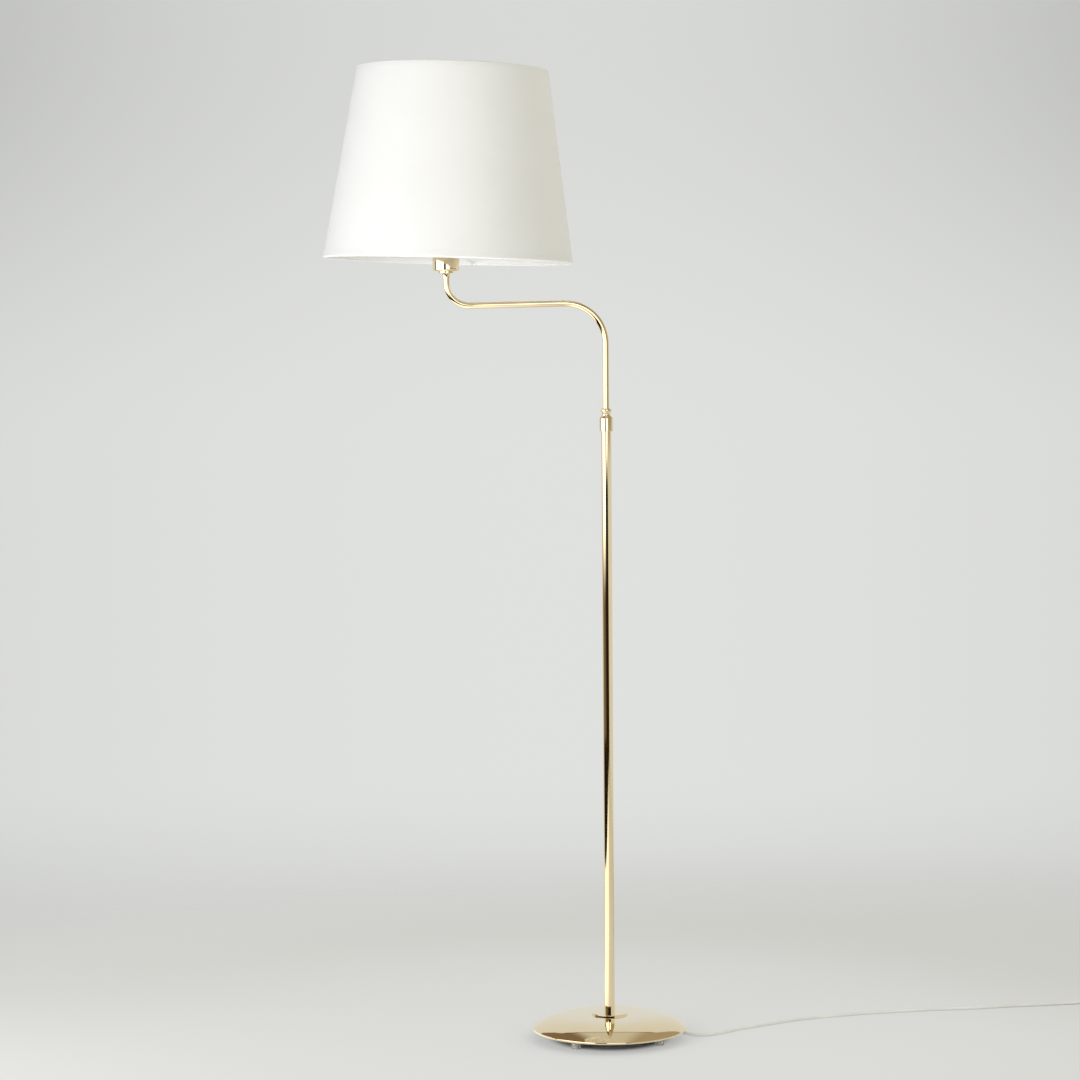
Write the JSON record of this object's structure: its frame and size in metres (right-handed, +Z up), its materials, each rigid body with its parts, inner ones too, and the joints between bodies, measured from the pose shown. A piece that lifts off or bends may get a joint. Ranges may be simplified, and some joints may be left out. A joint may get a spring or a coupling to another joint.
{
  "type": "floor lamp",
  "caption": "Slender brass floor lamp: domed base, straight stem, bent arm that slides and swings in a clamp collar, tapered fabric shade on a switched lampholder, mains cord with plug.",
  "frame": {"origin": "on the floor under the stem's axis, in the middle of the four feet", "axes": "+Z up along the stem; the arm points along -X, to the left in the picture; +Y is away from the viewer"},
  "size_m": [1.3298, 0.429, 1.4988],
  "materials": {
    "brass": "polished and lacquered",
    "cast_weight": "as cast, black",
    "black_steel": "matt black",
    "steel": "zinc plated",
    "pale_feet": "clear, slightly cloudy",
    "shade_fabric": "woven, off-white",
    "white_wire": "white",
    "porcelain": "glazed white",
    "black_moulding": "black",
    "guide_plastic": "natural white",
    "pale_cord": "soft, clear to ivory",
    "tie_band": "pale",
    "plug_moulding": "ivory",
    "plug_metal": "nickel plated",
    "bulb_metal": "bright",
    "bulb_white": "frosted"
  },
  "bodies": {
    "stand": {"base_shell": "brass", "base_disc": "brass", "base_weight": "cast_weight", "base_plate": "black_steel", "feet": "pale_feet", "feet_screws": "steel", "stem_nipple": "steel", "base_washer": "steel", "base_nut": "steel", "stem_tube": "brass", "stem_foot_plug": "steel", "cord_outlet": "black_moulding", "outlet_screws": "steel", "cord_strain_relief": "pale_cord", "stem_wire": "pale_cord", "collar_sleeve": "brass", "collet": "brass", "power_cord": "pale_cord", "cord_coil": "pale_cord", "cord_tail": "pale_cord", "cord_tie": "tie_band", "plug_body": "plug_moulding", "plug_pins": "plug_metal"},
    "clamp": {"clamp_nut": "brass"},
    "carrier": {"guide_bush": "guide_plastic"},
    "arm": {"arm_tube": "brass", "tube_end_stop": "brass", "bush_ring": "brass", "arm_wire": "pale_cord", "neck_collar": "brass", "neck_grub_screw": "steel", "holder_cup": "brass", "holder_washer": "steel", "holder_locknut": "steel", "holder_body": "porcelain", "holder_shell": "brass", "centre_contact": "brass", "terminal_screws": "brass", "holder_sleeve": "black_moulding", "shade_ring_lower": "black_moulding", "shade_fitter": "white_wire", "shade_ring_upper": "black_moulding", "spider_arms": "white_wire", "shade_bottom_ring": "white_wire", "shade_top_ring": "white_wire", "shade_skin": "shade_fabric", "bulb_cap": "bulb_metal", "bulb_glass": "bulb_white"},
    "switch": {"switch_spindle": "steel", "switch_knob": "black_moulding"}
  },
  "joints": [
    {"name": "height_slide", "type": "slide", "parent": "stand", "child": "carrier", "axis": [0, 0, 1], "range_m": [-0.09, 0.2]},
    {"name": "arm_swing", "type": "hinge", "parent": "carrier", "child": "arm", "pos_m": [0, 0, 0.7285], "axis": [0, 0, 1], "range_deg": [-170, 170]},
    {"name": "clamp_turn", "type": "hinge", "parent": "stand", "child": "clamp", "pos_m": [0, 0, 0.965], "axis": [0, 0, 1], "range_deg": [0, 180]},
    {"name": "switch_turn", "type": "hinge", "parent": "arm", "child": "switch", "pos_m": [-0.243, -0.0275, 1.213], "axis": [0, -1, 0], "range_deg": [0, 90]}
  ]
}
